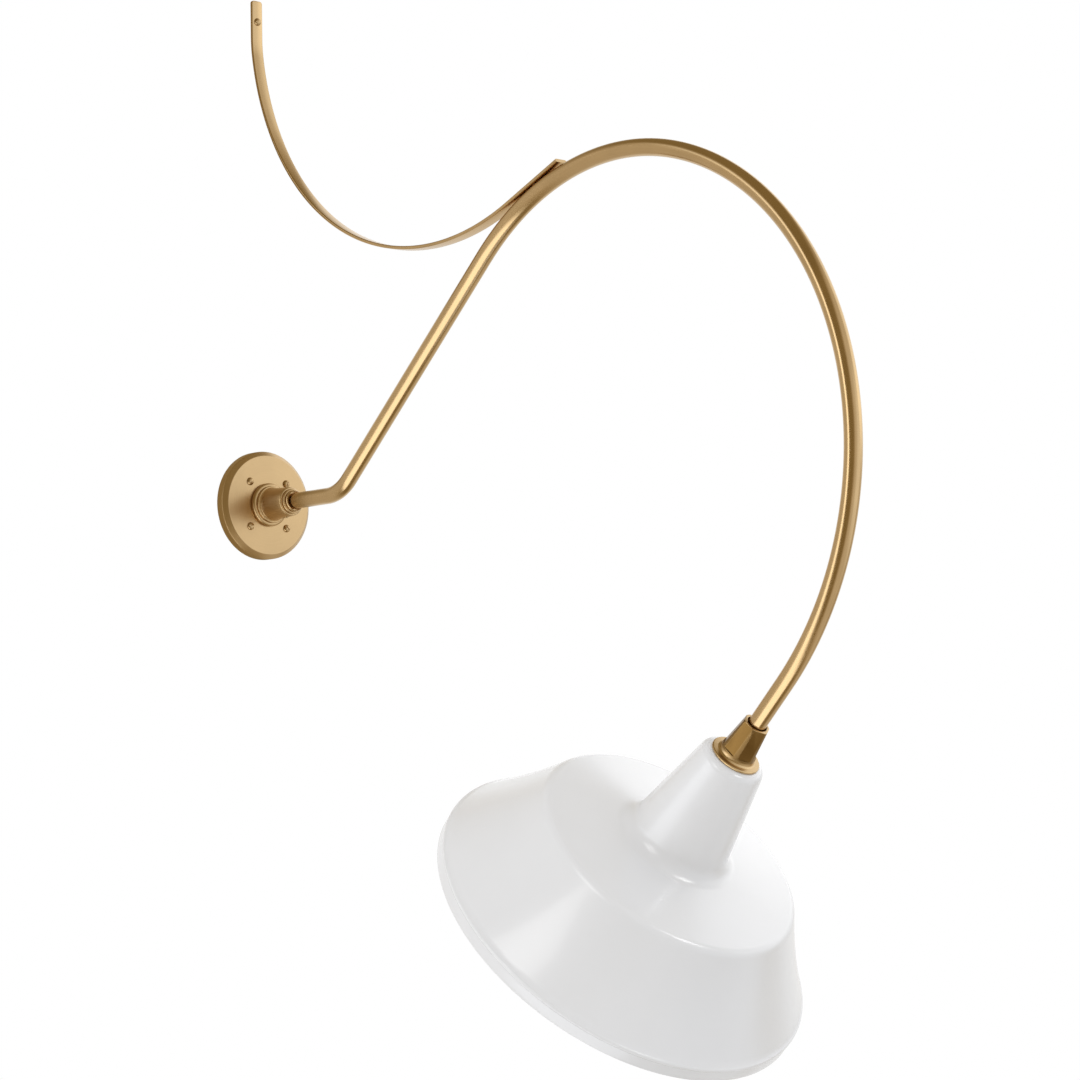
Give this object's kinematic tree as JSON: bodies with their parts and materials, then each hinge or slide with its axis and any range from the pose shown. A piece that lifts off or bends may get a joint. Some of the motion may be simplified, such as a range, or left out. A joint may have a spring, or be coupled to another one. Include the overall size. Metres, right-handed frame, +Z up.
{
  "type": "gooseneck wall sconce",
  "caption": "Wall sconce: a round plate carries an arched tube arm, steadied by a curved flat brace, with a wide flared shade angled down and outwards over a lamp socket.",
  "frame": {"origin": "centre of the wall plate's back, on the wall", "axes": "+Z up, -Y out from the wall into the room, +X to the right as the room faces the wall"},
  "size_m": [0.427, 1.0031, 1.2752],
  "materials": {
    "brass": "satin",
    "enamel": "gloss enamel",
    "steel": "zinc plated",
    "copper": "bare wire",
    "contact_brass": "bright",
    "porcelain": "glazed",
    "fibre": "vulcanised fibre",
    "lead_black": "insulated wire",
    "lead_white": "insulated wire"
  },
  "bodies": {
    "root": {"wall_plate": "brass", "plate_screws": "brass", "ground_screw": "steel", "ground_lead": "copper", "arm_hub": "brass", "hub_set_screw": "brass", "hub_lock_washer": "steel", "hub_locknut": "steel", "arm_tube": "brass", "brace_strap": "brass", "brace_wall_screw": "brass", "brace_tube_screw": "brass", "brace_insert": "steel", "shade_holder": "brass", "shade": "enamel", "shade_washer": "fibre", "shade_ring_nut": "steel", "socket_nipple": "steel", "nipple_nuts": "steel", "socket_cap": "steel", "socket_body": "porcelain", "socket_screws": "steel", "terminal_screws": "contact_brass", "screw_shell": "contact_brass", "centre_contact": "contact_brass", "contact_rivet": "contact_brass", "lead_line": "lead_black", "lead_neutral": "lead_white"}
  },
  "joints": []
}
